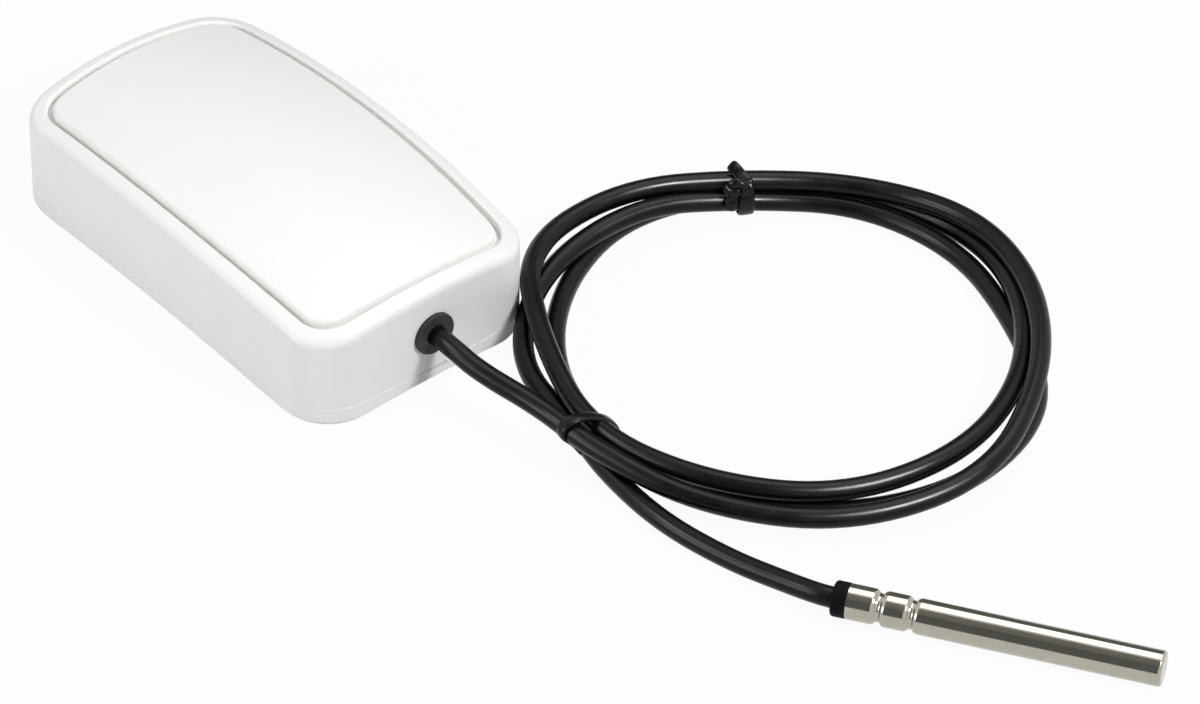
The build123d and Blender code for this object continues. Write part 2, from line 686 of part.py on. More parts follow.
def make_knot_tie():
    """Return the knotted tie: its band, the loop of the knot and the free tail."""
    band = tie_band(KNOT_TIE_ANGLE, KNOT_TIE_OUT, KNOT_NECK)
    top_z = NECK_LIFT + KNOT_NECK[1] + TIE_T + KNOT_LIFT
    loop = Pos(0, top_z, 0) * (Rot(60, 0, 0) * Torus(KNOT_LOOP_R, KNOT_LOOP_T))
    tail = Cone(*KNOT_TAIL_R, KNOT_TAIL_L, align=UPWARDS)
    tail = Pos(KNOT_LOOP_R / 2, top_z, 0) * (Rot(0, 70, 0) * tail)
    return one(band + tie_plane(KNOT_TIE_ANGLE, KNOT_TIE_OUT) * (loop + tail))


def coil_gate(sign, inwards, z):
    """Return a point on a face of the ring tie's neck, where a free run meets the coil.

    Args:
        sign: 1 for the face towards the housing, -1 for the one towards the probe.
        inwards: how far the point lies from the neck's outer side.
        z: the point's height.
    """
    plane = tie_plane(RING_TIE_ANGLE, RING_TIE_OUT)
    reach = NECK_GAP / 2 + NECK_LAP
    across = RING_NECK[0] / 2 - inwards
    return plane.from_local_coords((across, z, sign * reach))


def outside(across, away, up):
    """Return a point outside the housing, from its distance to the end wall."""
    return (across, -END_Y - away, up)


def make_gland_lead(coil):
    """Return the free run from the wall to the coil, cut where it meets the coil."""
    gate = coil_gate(1, COIL_ENTRY_IN, COIL_ENTRY_Z)
    points = [
        (0, -END_Y, GLAND_Z),
        (0, -END_Y - GLAND_RUN, GLAND_Z),
        outside(*GLAND_DROP),
        (gate.X, gate.Y, gate.Z),
    ]
    return one(tube(points, CABLE_D) - coil)


def probe_plane(distance=0.0):
    """Return the plane across the probe at a distance from the metal's start, z to the tip."""
    turn = math.radians(PROBE_ANGLE)
    ahead = Vector(math.cos(turn), math.sin(turn), 0)
    origin = Vector(*outside(*PROBE_START, PROBE_R)) + ahead * distance
    return Plane(origin=origin, x_dir=(0, 0, 1), z_dir=ahead)


def make_probe_lead(coil):
    """Return the free run from the coil to the probe's sleeve, cut where it meets the coil."""
    gate = coil_gate(-1, COIL_EXIT_IN, COIL_EXIT_Z)
    end = probe_plane(-SLEEVE_OUT).origin
    turn = probe_plane(-SLEEVE_OUT - PROBE_LAST_RUN).origin
    points = [
        (gate.X, gate.Y, gate.Z),
        *(outside(*point) for point in PROBE_RUN),
        (turn.X, turn.Y, turn.Z),
        (end.X, end.Y, end.Z),
    ]
    return one(tube(points, CABLE_D) - coil)


def along_probe(start, end, diameter):
    """Return a cylinder on the probe's axis, in the probe's own frame."""
    return Pos(0, 0, start) * Cylinder(diameter / 2, end - start, align=UPWARDS)


def groove_ring(distance, thickness):
    """Return the ring that presses a crimp groove, grown by a thickness."""
    ring = Torus(PROBE_R - GROOVE_DEPTH + GROOVE_R, GROOVE_R + thickness)
    return Pos(0, 0, distance) * ring


def probe_inside():
    """Return the hollow of the probe's tube, in the probe's own frame."""
    hollow = along_probe(0, PROBE_LENGTH - PROBE_WALL, PROBE_D - 2 * PROBE_WALL)
    for distance in GROOVES:
        hollow -= groove_ring(distance, PROBE_WALL)
    return hollow


def make_probe_sheath():
    """Return the metal tube with its crimp grooves and closed end."""
    metal = along_probe(0, PROBE_LENGTH, PROBE_D)
    metal = fillet(metal.edges().filter_by(GeomType.CIRCLE).sort_by(Axis.Z)[-1:], PROBE_TIP_R)
    for distance in GROOVES:
        metal -= groove_ring(distance, 0)
    shoulders = []
    for edge in metal.edges().filter_by(GeomType.CIRCLE):
        if abs(edge.radius - PROBE_R) < 0.001 and GROOVE_R / 2 < edge.center().Z < PROBE_LENGTH / 2:
            shoulders.append(edge)
    metal = fillet(shoulders, GROOVE_EDGE_R)
    return one(probe_plane() * (metal - probe_inside()))


def make_probe_sleeve():
    """Return the end sleeve: a collar outside the tube and a spigot inside it."""
    collar = along_probe(-SLEEVE_OUT, 0, SLEEVE_D)
    collar = fillet(collar.edges().filter_by(GeomType.CIRCLE).sort_by(Axis.Z)[:1], SLEEVE_EDGE_R)
    sleeve = collar + along_probe(0, SLEEVE_IN, PROBE_D - 2 * PROBE_WALL)
    sleeve -= along_probe(-SLEEVE_OUT, SLEEVE_IN, CABLE_D)
    return one(probe_plane() * sleeve)


def probe_cable_local():
    """Return the cable's end inside the probe, in the probe's own frame."""
    return along_probe(-SLEEVE_OUT, PROBE_CABLE_IN, CABLE_D)


def bead_local():
    """Return the thermistor bead, in the probe's own frame."""
    return Pos(0, 0, PROBE_LENGTH - BEAD_FROM_TIP) * Sphere(BEAD_R)


def probe_wires_local():
    """Return the two wires from the cable's end to the bead, in the probe's own frame."""
    length = PROBE_LENGTH - BEAD_FROM_TIP - PROBE_CABLE_IN
    wires = Part()
    for sign in (-1, 1):
        wire = Cylinder(PROBE_WIRE_D / 2, length, align=UPWARDS)
        wires += Pos(0, sign * PROBE_WIRE_OFFSET, PROBE_CABLE_IN) * wire
    return wires - bead_local()


def make_probe_potting():
    """Return the filling between the tube, the bead, the wires and the cable's end."""
    filling = probe_inside() - along_probe(0, SLEEVE_IN, PROBE_D)
    filling -= probe_cable_local()
    filling -= probe_wires_local()
    filling -= bead_local()
    return one(probe_plane() * filling)


def make_nodes():
    """Return every sub-part by its node name."""
    coil = make_cable_coil()
    return {
        "top_cover": make_top_cover(),
        "front_panel": make_front_panel(),
        "base_cover": make_base_cover(),
        "cover_seal": make_cover_seal(),
        "housing_screws": make_housing_screws(),
        "circuit_board": make_circuit_board(),
        "board_screws": make_board_screws(),
        "radio_module": make_radio_module(),
        "microcontroller": make_microcontroller(),
        "antenna": make_antenna(),
        "reserve_capacitor": make_reserve_capacitor(),
        "terminal_block": make_terminal_block(),
        "terminal_screws": make_terminal_screws(),
        "battery_cell": make_battery_cell(),
        "battery_holder": make_battery_holder(),
        "positive_contact": make_positive_contact(),
        "negative_contact": make_negative_contact(),
        "cable_grommet": make_cable_grommet(),
        "inner_cable": make_inner_cable(),
        "cable_stop": make_cable_stop(),
        "sensor_wires": make_sensor_wires(),
        "gland_lead": make_gland_lead(coil),
        "cable_coil": coil,
        "ring_tie": make_ring_tie(),
        "knot_tie": make_knot_tie(),
        "probe_lead": make_probe_lead(coil),
        "probe_sleeve": make_probe_sleeve(),
        "probe_sheath": make_probe_sheath(),
        "probe_cable_end": one(probe_plane() * probe_cable_local()),
        "probe_wires": probe_plane() * probe_wires_local(),
        "thermistor_bead": one(probe_plane() * bead_local()),
        "probe_potting": make_probe_potting(),
    }


for name, shape in make_nodes().items():
    export_step(shape, f"parts/{name}.step")
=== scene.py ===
"""Looks of a wireless temperature sensor: white housing, coiled cable and metal probe."""

import logging
import math
from dataclasses import dataclass, field
from enum import Enum

import bpy
from mathutils import Matrix, Vector

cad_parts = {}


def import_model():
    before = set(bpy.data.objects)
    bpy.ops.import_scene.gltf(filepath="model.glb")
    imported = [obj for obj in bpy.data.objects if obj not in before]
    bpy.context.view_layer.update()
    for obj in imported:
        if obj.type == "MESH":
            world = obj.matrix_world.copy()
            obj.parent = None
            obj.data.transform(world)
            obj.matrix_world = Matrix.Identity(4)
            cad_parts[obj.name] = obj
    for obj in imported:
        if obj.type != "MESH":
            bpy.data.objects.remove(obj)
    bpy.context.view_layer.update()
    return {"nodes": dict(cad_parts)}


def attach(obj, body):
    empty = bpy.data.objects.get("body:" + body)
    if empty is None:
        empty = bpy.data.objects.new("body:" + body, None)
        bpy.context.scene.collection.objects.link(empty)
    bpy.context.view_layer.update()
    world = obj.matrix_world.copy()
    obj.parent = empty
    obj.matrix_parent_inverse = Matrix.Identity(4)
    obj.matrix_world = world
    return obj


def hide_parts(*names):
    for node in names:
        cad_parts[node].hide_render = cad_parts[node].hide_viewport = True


LOG = logging.getLogger("sensor")
MM = 0.001
ROOT = "root"
PHOTO_WIDTH_PX = 1200
WHITE = "#ffffff"
COIL_CENTRE_MM = (52.0, -75.0)

Triple = tuple[float, float, float]


def hex_linear(code: str) -> tuple[float, float, float, float]:
    """Turn an sRGB hex colour into a linear one.

    Args:
        code: the colour as #rrggbb.

    Returns:
        Linear red, green, blue and an alpha of 1.
    """
    channels = []
    for start in (1, 3, 5):
        value = int(code[start : start + 2], 16) / 255
        channels.append(value / 12.92 if value <= 0.04045 else ((value + 0.055) / 1.055) ** 2.4)
    return channels[0], channels[1], channels[2], 1.0


def add_node(
    tree: bpy.types.NodeTree,
    kind: str,
    settings: dict[str, object] | None = None,
    inputs: dict[str | int, object] | None = None,
) -> bpy.types.Node:
    """Add a shader node with its settings and links.

    Args:
        tree: the node tree that gets the node.
        kind: the node's type name.
        settings: properties of the node by name.
        inputs: socket values by name or place; a socket as the value is linked.

    Returns:
        The new node.
    """
    node = tree.nodes.new(kind)
    for name, value in (settings or {}).items():
        setattr(node, name, value)
    for name, value in (inputs or {}).items():
        if isinstance(value, bpy.types.NodeSocket):
            tree.links.new(value, node.inputs[name])
        else:
            node.inputs[name].default_value = value
    return node


def blank_material(name: str) -> bpy.types.Material:
    """Make a material with no nodes in it yet.

    Args:
        name: the material's name.

    Returns:
        The material, with an empty node tree.
    """
    material = bpy.data.materials.new(name)
    material.use_nodes = True
    material.node_tree.nodes.clear()
    return material


def per_size(size_mm: float) -> float:
    """Return the texture scale that gives features of a size in millimetres."""
    return 1.0 / (size_mm * MM)


def deselect_all() -> None:
    """Leave nothing selected, so that an operator meets only what it should."""
    for item in bpy.context.selected_objects:
        item.select_set(False)


class Grain(Enum):
    """How a surface was made, which decides the pattern that its material shows."""

    SPARKED = "sparked mould"
    EXTRUDED = "extruded"
    DRAWN = "drawn tube"
    CALENDERED = "calendered strip"
    PLAIN = "plain"


# How much fine detail the noise of a grain has, and that of the cloud over it.
GRAIN_DETAIL = {
    Grain.EXTRUDED: 3.0,
    Grain.DRAWN: 5.0,
    Grain.CALENDERED: 1.0,
    Grain.PLAIN: 3.0,
}
CLOUD_DETAIL = 3.0
# The part of the cloud's range that moves the roughness from end to end.
CLOUD_LOW, CLOUD_HIGH = 0.3, 0.7


@dataclass(frozen=True)
class Finish:
    """A surface: its colours, gloss, and the size and depth of its pattern.

    The pattern reads Object coordinates, and its sizes are in millimetres.
    """

    name: str
    colour: str
    shade: str
    roughness: float
    grain: Grain = Grain.PLAIN
    metallic: float = 0.0
    specular: float = 0.5
    grain_mm: float = 0.4
    relief_mm: float = 0.01
    cloud_mm: float = 8.0
    roughness_swing: float = 0.06

    def build(self) -> bpy.types.Material:
        """Make the material.

        Returns:
            A node material with colour, roughness and bump from its pattern.
        """
        material = blank_material(self.name)
        tree = material.node_tree
        place = add_node(tree, "ShaderNodeTexCoord").outputs["Object"]
        cloud = add_node(
            tree,
            "ShaderNodeTexNoise",
            inputs={"Vector": place, "Scale": per_size(self.cloud_mm), "Detail": CLOUD_DETAIL},
        ).outputs["Fac"]
        colour = add_node(
            tree,
            "ShaderNodeMix",
            {"data_type": "RGBA"},
            {0: cloud, 6: hex_linear(self.colour), 7: hex_linear(self.shade)},
        ).outputs[2]
        rough = add_node(
            tree,
            "ShaderNodeMapRange",
            inputs={
                "Value": cloud,
                "From Min": CLOUD_LOW,
                "From Max": CLOUD_HIGH,
                "To Min": self.roughness - self.roughness_swing,
                "To Max": self.roughness + self.roughness_swing,
            },
        ).outputs["Result"]
        bump = add_node(
            tree,
            "ShaderNodeBump",
            inputs={
                "Strength": 1.0,
                "Distance": self.relief_mm * MM,
                "Height": self.relief(tree, place),
            },
        ).outputs["Normal"]
        shader = add_node(
            tree,
            "ShaderNodeBsdfPrincipled",
            inputs={
                "Base Color": colour,
                "Roughness": rough,
                "Metallic": self.metallic,
                "Specular IOR Level": self.specular,
                "Normal": bump,
            },
        ).outputs["BSDF"]
        add_node(tree, "ShaderNodeOutputMaterial", inputs={"Surface": shader})
        return material

    def relief(
        self, tree: bpy.types.NodeTree, place: bpy.types.NodeSocket
    ) -> bpy.types.NodeSocket:
        """Add the height pattern that the way of making leaves.

        Args:
            tree: the material's nodes.
            place: the Object coordinates.

        Returns:
            The socket that holds the height.
        """
        scale = per_size(self.grain_mm)
        if self.grain is Grain.SPARKED:
            cells = add_node(
                tree,
                "ShaderNodeTexVoronoi",
                {"feature": "SMOOTH_F1"},
                {"Vector": place, "Scale": scale},
            )
            return cells.outputs["Distance"]
        noise = add_node(
            tree,
            "ShaderNodeTexNoise",
            inputs={"Vector": place, "Scale": scale, "Detail": GRAIN_DETAIL[self.grain]},
        )
        return noise.outputs["Fac"]

    def dress(self, *pieces: bpy.types.Object) -> None:
        """Give this finish to pieces as their only material.

        Args:
            pieces: the objects that share the material.
        """
        material = self.build()
        for piece in pieces:
            piece.data.materials.clear()
            piece.data.materials.append(material)


# ABS from a fine sparked mould: even, soft gloss with no mirror image.
HOUSING_ABS = Finish("white_abs_sparked", "#f2f2f0", "#eeeeec", 0.5, Grain.SPARKED, specular=0.35)
PANEL_ABS = Finish("white_abs_panel", "#f4f4f2", "#f0f0ee", 0.46, Grain.SPARKED, specular=0.35)
# Moulded rubber: dull, dark grey for the grommet and near black for the sleeve.
GROMMET_RUBBER = Finish("grommet_rubber", "#2b2b2b", "#353535", 0.62, Grain.SPARKED, specular=0.3)
SLEEVE_RUBBER = Finish("sleeve_rubber", "#060606", "#0c0c0c", 0.6, Grain.SPARKED, specular=0.08)
# Extruded jacket: satin black with long soft highlights.
CABLE_JACKET = Finish(
    "cable_jacket_extruded",
    "#020202",
    "#060606",
    0.28,
    Grain.EXTRUDED,
    specular=0.17,
    grain_mm=0.9,
    relief_mm=0.004,
)
# Soft strip for ties: glossier than the cable, with shallow ripples.
TIE_STRIP = Finish(
    "tie_strip_calendered",
    "#0a0a0a",
    "#121212",
    0.18,
    Grain.CALENDERED,
    specular=0.2,
    grain_mm=1.8,
    relief_mm=0.06,
)
# Drawn stainless tube: sharp bands of reflection, slightly mottled by handling.
PROBE_STEEL = Finish(
    "probe_stainless_drawn",
    "#b5b1a6",
    "#a8a499",
    0.13,
    Grain.DRAWN,
    metallic=1.0,
    grain_mm=1.6,
    relief_mm=0.006,
    cloud_mm=2.2,
    roughness_swing=0.05,
)
# What is inside, by finish.
INNER_FINISHES = {
    Finish("screw_steel", "#b0b0b0", "#9c9c9c", 0.3, metallic=1.0): (
        "housing_screws",
        "board_screws",
        "terminal_screws",
    ),
    Finish("board_laminate", "#1d5c34", "#184d2c", 0.4): ("circuit_board",),
    Finish("shield_tinned_steel", "#c4c4c2", "#b4b4b2", 0.28, metallic=1.0): ("radio_module",),
    Finish("chip_epoxy", "#1c1c1c", "#222222", 0.5, Grain.SPARKED): ("microcontroller",),
    Finish("contact_nickel_brass", "#c9bd97", "#b9ac84", 0.26, metallic=1.0): (
        "antenna",
        "positive_contact",
        "negative_contact",
    ),
    Finish("capacitor_aluminium", "#c2c4c8", "#b2b4b8", 0.3, metallic=1.0): ("reserve_capacitor",),
    Finish("terminal_green_plastic", "#2c7a3f", "#266c37", 0.35): ("terminal_block",),
    Finish("cell_sleeve_film", "#2d3c66", "#28365c", 0.28): ("battery_cell",),
    Finish("holder_nylon", "#1a1a1a", "#222222", 0.5, Grain.SPARKED): (
        "battery_holder",
        "cable_stop",
    ),
    Finish("wire_insulation", "#a01f18", "#8c1a14", 0.35): ("sensor_wires", "probe_wires"),
    Finish("potting_resin", "#202020", "#282828", 0.2): ("probe_potting", "thermistor_bead"),
    Finish("seal_silicone", "#5a5a58", "#52524f", 0.5): ("cover_seal",),
}


@dataclass
class Housing:
    """The two shells, the inset panel and the grommet, which keep their solids."""

    nodes: dict[str, bpy.types.Object]

    def dress(self) -> None:
        """Give the shells, the panel and the grommet their finishes."""
        HOUSING_ABS.dress(self.nodes["top_cover"], self.nodes["base_cover"])
        PANEL_ABS.dress(self.nodes["front_panel"])
        GROMMET_RUBBER.dress(self.nodes["cable_grommet"])
        LOG.info("housing dressed")


@dataclass
class Inside:
    """What the housing and the probe hold, out of sight."""

    nodes: dict[str, bpy.types.Object]

    def dress(self) -> None:
        """Give every hidden node its finish."""
        for finish, names in INNER_FINISHES.items():
            finish.dress(*(self.nodes[name] for name in names))
        CABLE_JACKET.dress(self.nodes["inner_cable"], self.nodes["probe_cable_end"])
        LOG.info("inside dressed")


@dataclass
class Cable:
    """The free cable: from the gland round three loose turns to the probe.

    Each turn is a list of (radius, height) in millimetres, one for every step round the
    coil from the ring tie on. The first turn leaves out its first step, where the run
    from the gland joins it. A turn's points lie a little outside the line that the
    spline then takes, by the factor that a regular polygon's corners have.
    """

    diameter_mm: float = 3.6
    length_m: float = 0.88
    rim_steps: int = 7
    run_steps: int = 10
    gland_mm: tuple[Triple, ...] = (
        (0.0, -43.75, 11.25),
        (0.0, -48.5, 11.25),
        (0.7, -55.0, 9.7),
        (4.4, -67.0, 7.6),
        (5.0, -78.5, 6.6),
    )
    probe_mm: tuple[Triple, ...] = (
        (8.6, -70.5, 3.4),
        (6.7, -80.5, 1.8),
        (5.5, -96.0, 1.8),
        (8.1, -110.5, 1.8),
        (11.5, -121.6, 2.4),
        (12.8, -126.4, 3.0),
        (14.17, -128.92, 3.0),
        (15.0, -130.3, 3.0),
    )
    centre_mm: tuple[float, float] = COIL_CENTRE_MM
    start_deg: float = 180.0
    step_deg: float = 30.0
    turns_mm: tuple[tuple[tuple[float, float], ...], ...] = (
        (
            (45.5, 4.0),
            (47.9, 3.8),
            (48.5, 5.2),
            (43.2, 7.2),
            (41.6, 8.0),
            (41.6, 7.2),
            (39.4, 5.5),
            (38.2, 6.0),
            (43.0, 7.5),
            (46.5, 8.2),
            (41.1, 7.9),
        ),
        (
            (42.6, 5.9),
            (41.7, 5.6),
            (42.5, 5.0),
            (41.9, 5.7),
            (39.9, 5.2),
            (39.7, 5.2),
            (41.7, 3.0),
            (41.3, 1.8),
            (40.6, 1.8),
            (42.2, 1.8),
            (39.8, 1.8),
            (39.4, 1.8),
        ),
        (
            (40.2, 2.8),
            (40.8, 1.8),
            (43.9, 1.8),
            (45.6, 1.8),
            (44.7, 1.8),
            (37.5, 1.8),
            (37.7, 1.8),
            (37.6, 2.4),
            (36.8, 2.6),
            (39.0, 6.3),
            (43.5, 4.2),
            (45.5, 4.0),
        ),
    )

    def points(self) -> list[Vector]:
        """Work out the spline's control points in metres.

        Returns:
            The points from the gland to the probe.
        """
        route = [Vector(point) for point in self.gland_mm]
        outwards = 1.0 / math.cos(math.radians(self.step_deg / 2))
        steps = round(360 / self.step_deg)
        for number, turn in enumerate(self.turns_mm):
            skipped = steps - len(turn)
            for i, (radius, height) in enumerate(turn):
                angle = math.radians(self.start_deg + self.step_deg * (i + skipped))
                x = self.centre_mm[0] + radius * outwards * math.cos(angle)
                y = self.centre_mm[1] + radius * outwards * math.sin(angle)
                route.append(Vector((x, y, height)))
            LOG.info("turn %d laid", number + 1)
        route.extend(Vector(point) for point in self.probe_mm)
        return [point * MM for point in route]

    def build(self) -> bpy.types.Object:
        """Make the cable as one bevelled spline.

        Returns:
            The cable's curve object.
        """
        curve = bpy.data.curves.new("probe_cable", "CURVE")
        curve.dimensions = "3D"
        curve.bevel_depth = self.diameter_mm * MM / 2
        curve.bevel_resolution = self.rim_steps
        curve.resolution_u = self.run_steps
        curve.use_fill_caps = True
        points = self.points()
        spline = curve.splines.new("NURBS")
        spline.points.add(len(points) - 1)
        for slot, point in zip(spline.points, points):
            slot.co = (*point, 1.0)
        spline.order_u = 3
        spline.use_endpoint_u = True
        spline.use_smooth = True
        piece = bpy.data.objects.new("probe_cable", curve)
        bpy.context.scene.collection.objects.link(piece)
        CABLE_JACKET.dress(piece)
        return piece

    def declare(self, piece: bpy.types.Object) -> None:
        """Attach the cable to the root and hide the CAD cable nodes that it stands in for.

        Args:
            piece: the cable.
        """
        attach(piece, ROOT)
        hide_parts("gland_lead", "cable_coil", "probe_lead")
        LOG.info("cable of %.2f m declared", self.length_m)


@dataclass
class Ribbon:
    """A flat strip through stations, each with a middle and the way to its edge.

    All sizes are in millimetres. The strip is a grid with one row for each station,
    thickened and rounded by modifiers. Its crown is how far its middle stands off the
    line between its edges.
    """

    middles_mm: list[Vector]
    edges_mm: list[Vector]
    thickness_mm: float
    closed: bool = False
    crown_mm: Vector = field(default_factory=Vector)
    weld_mm: float = 0.01
    smooth_levels: int = 2

    def build(self, name: str) -> bpy.types.Object:
        """Make the strip as a mesh.

        Args:
            name: the object's name.

        Returns:
            The strip, with its place in its mesh.
        """
        middles = list(self.middles_mm)
        edges = list(self.edges_mm)
        if self.closed:
            middles.append(middles[0])
            edges.append(edges[0])
        runs = len(middles) - 1
        deselect_all()
        # The grid runs from -1 to 1 both ways, with edge, middle and edge in each row.
        bpy.ops.mesh.primitive_grid_add(x_subdivisions=2, y_subdivisions=runs, size=2)
        piece = bpy.context.active_object
        piece.name = name
        for vertex in piece.data.vertices:
            row = round((vertex.co.y + 1) / 2 * runs)
            side = vertex.co.x
            vertex.co = (middles[row] + edges[row] * side + self.crown_mm * (1 - abs(side))) * MM
        bpy.ops.object.mode_set(mode="EDIT")
        bpy.ops.mesh.select_all(action="SELECT")
        bpy.ops.mesh.remove_doubles(threshold=self.weld_mm * MM)
        bpy.ops.mesh.normals_make_consistent(inside=False)
        bpy.ops.object.mode_set(mode="OBJECT")
        wall = piece.modifiers.new("wall", "SOLIDIFY")
        wall.thickness = self.thickness_mm * MM
        wall.offset = 0.0
        smooth = piece.modifiers.new("smooth", "SUBSURF")
        smooth.levels = self.smooth_levels
        smooth.render_levels = self.smooth_levels
        bpy.ops.object.modifier_apply(modifier=wall.name)
        bpy.ops.object.modifier_apply(modifier=smooth.name)
        bpy.ops.object.shade_smooth()
        return piece


@dataclass
class RingTie:
    """The plain band that holds the bundle near the housing.

    Its loop lies in an upright plane across the bundle. Each point is a distance inwards
    over the floor from the loop's middle, and a height.
    """

    middle_mm: tuple[float, float] = (8.8, -74.7)
    bearing_deg: float = -10.0
    width_mm: float = 2.3
    thickness_mm: float = 0.9
    loop_mm: tuple[tuple[float, float], ...] = (
        (-6.3, 6.7),
        (-6.1, 8.3),
        (-4.6, 9.5),
        (-2.0, 9.4),
        (0.4, 8.3),
        (2.6, 7.0),
        (4.2, 5.2),
        (5.0, 2.9),
        (4.6, 0.9),
        (3.0, 0.45),
        (-0.6, 0.45),
        (-2.4, 1.5),
        (-3.8, 4.7),
    )

    def build(self) -> bpy.types.Object:
        """Make the band round the four strands that pass here.

        Returns:
            The tie's mesh object.
        """
        turn = math.radians(self.bearing_deg)
        across = Vector((math.cos(turn), math.sin(turn), 0.0))
        edge = Vector((-math.sin(turn), math.cos(turn), 0.0)) * self.width_mm / 2
        middle = Vector((*self.middle_mm, 0.0))
        loop = [middle + across * inwards + Vector((0.0, 0.0, up)) for inwards, up in self.loop_mm]
        band = Ribbon(loop, [edge] * len(loop), self.thickness_mm, closed=True)
        piece = band.build("ring_tie_band")
        TIE_STRIP.dress(piece)
        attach(piece, ROOT)
        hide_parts("ring_tie")
        LOG.info("ring tie made")
        return piece


@dataclass(frozen=True)
class KnotLength:
    """One length of the knot's strip, in the tie's (out, along, up) millimetres.

    Each station is a middle and the way from there to the strip's edge. The crown is how
    far the strip's middle stands off the line between its edges.
    """

    name: str
    stations_mm: tuple[tuple[Triple, Triple], ...]
    crown_mm: Triple = (0.0, 0.0, 0.0)


FOLD_CROWN_MM = (-0.5, 0.1, 0.45)
UPPER_TAIL = KnotLength(
    "knot_upper_tail",
    (
        ((-1.9, -0.2, 7.5), (0.0, 1.5, 0.0)),
        ((-1.0, -0.1, 8.2), (0.0, 1.5, -0.05)),
        ((0.3, 0.75, 8.7), (-0.25, 1.1, -0.15)),
        ((1.5, 2.0, 9.9), (-0.35, 0.95, -0.85)),
    ),
)
OVER_FOLD = KnotLength(
    "knot_over",
    (
        ((-2.2, 2.8, 7.5), (0.45, 0.6, 0.45)),
        ((-2.3, 2.0, 8.5), (0.55, 0.35, 0.7)),
        ((-2.4, 0.9, 8.6), (0.6, 0.0, 0.75)),
        ((-2.9, 0.0, 7.8), (0.5, -0.6, 0.5)),
        ((-3.3, -0.1, 6.7), (0.3, -0.8, 0.35)),
    ),
    FOLD_CROWN_MM,
)
UNDER_FOLD = KnotLength(
    "knot_under",
    (
        ((-2.1, 3.7, 7.9), (0.4, -0.6, 0.45)),
        ((-2.6, 2.9, 6.9), (0.45, -0.4, 0.55)),
        ((-2.9, 1.9, 6.8), (0.55, 0.0, 0.65)),
        ((-2.9, 1.0, 7.1), (0.5, 0.2, 0.6)),
    ),
    FOLD_CROWN_MM,
)
LOWER_TAIL = KnotLength(
    "knot_lower_tail",
    (
        ((-2.6, 2.0, 6.4), (0.0, 1.0, 0.1)),
        ((-3.2, 2.5, 5.4), (0.0, 1.1, 0.2)),
        ((-3.5, 2.9, 4.5), (0.1, 1.1, 0.3)),
        ((-3.6, 3.3, 3.5), (0.2, 1.1, 0.4)),
    ),
)


@dataclass
class KnotTie:
    """The knotted strip on the far side of the coil.

    Places are (out, along, up) in millimetres: away from the coil's centre, along the
    bundle counter-clockwise, and over the floor. The band has half a width for each of
    its places, because the knot draws it in.
    """

    centre_mm: tuple[float, float] = COIL_CENTRE_MM
    angle_deg: float = 61.0
    radius_mm: float = 38.0
    thickness_mm: float = 0.55
    band_mm: tuple[Triple, ...] = (
        (-3.1, -0.3, 2.5),
        (-3.2, -0.3, 5.0),
        (-1.7, -0.3, 7.6),
        (0.4, 0.4, 8.3),
        (2.2, 0.4, 7.6),
        (4.0, 0.0, 5.0),
        (4.8, -0.3, 2.4),
        (4.2, -0.3, 0.5),
        (0.6, -0.3, 0.4),
        (-1.8, -0.3, 0.5),
    )
    band_halves_mm: tuple[float, ...] = (1.4, 1.4, 1.4, 0.9, 0.9, 1.2, 1.4, 1.4, 1.4, 1.4)
    lengths: tuple[KnotLength, ...] = (UPPER_TAIL, OVER_FOLD, UNDER_FOLD, LOWER_TAIL)

    def turned(self, out: float, along: float, up: float) -> Vector:
        """Turn a direction at the tie into the part's frame.

        Args:
            out: its share away from the coil's centre.
            along: its share along the bundle.
            up: its share upwards.

        Returns:
            The direction in x, y and z.
        """
        turn = math.radians(self.angle_deg)
        x = out * math.cos(turn) - along * math.sin(turn)
        y = out * math.sin(turn) + along * math.cos(turn)
        return Vector((x, y, up))

    def place(self, out: float, along: float, up: float) -> Vector:
        """Turn a place at the tie into the part's frame."""
        return Vector((*self.centre_mm, 0.0)) + self.turned(self.radius_mm + out, along, up)

    def make_band(self) -> bpy.types.Object:
        """Make the closed band round the bundle.

        Returns:
            The band's mesh object.
        """
        loop = [self.place(*middle) for middle in self.band_mm]
        edges = [self.turned(0.0, half, 0.0) for half in self.band_halves_mm]
        return Ribbon(loop, edges, self.thickness_mm, closed=True).build("knot_band")

    def make_length(self, length: KnotLength) -> bpy.types.Object:
        """Make one fold or tail of the knot.

        Args:
            length: its stations and its crown.

        Returns:
            The strip's mesh object.
        """
        middles = [self.place(*middle) for middle, _ in length.stations_mm]
        edges = [self.turned(*edge) for _, edge in length.stations_mm]
        crown = self.turned(*length.crown_mm)
        return Ribbon(middles, edges, self.thickness_mm, crown_mm=crown).build(length.name)

    def build(self) -> bpy.types.Object:
        """Make the band and the knot as one piece.

        Returns:
            The tie's mesh object.
        """
        band = self.make_band()
        knot = [self.make_length(length) for length in self.lengths]
        deselect_all()
        for piece in [band, *knot]:
            piece.select_set(True)
        bpy.context.view_layer.objects.active = band
        bpy.ops.object.join()
        band.name = "knot_tie_strip"
        TIE_STRIP.dress(band)
        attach(band, ROOT)
        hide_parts("knot_tie")
        LOG.info("knot tie made")
        return band


@dataclass
class Probe:
    """The metal tube with its sleeve, which keep their solids."""

    nodes: dict[str, bpy.types.Object]

    def dress(self) -> None:
        """Give the tube and the sleeve their finishes."""
        PROBE_STEEL.dress(self.nodes["probe_sheath"])
        SLEEVE_RUBBER.dress(self.nodes["probe_sleeve"])
        LOG.info("probe dressed")


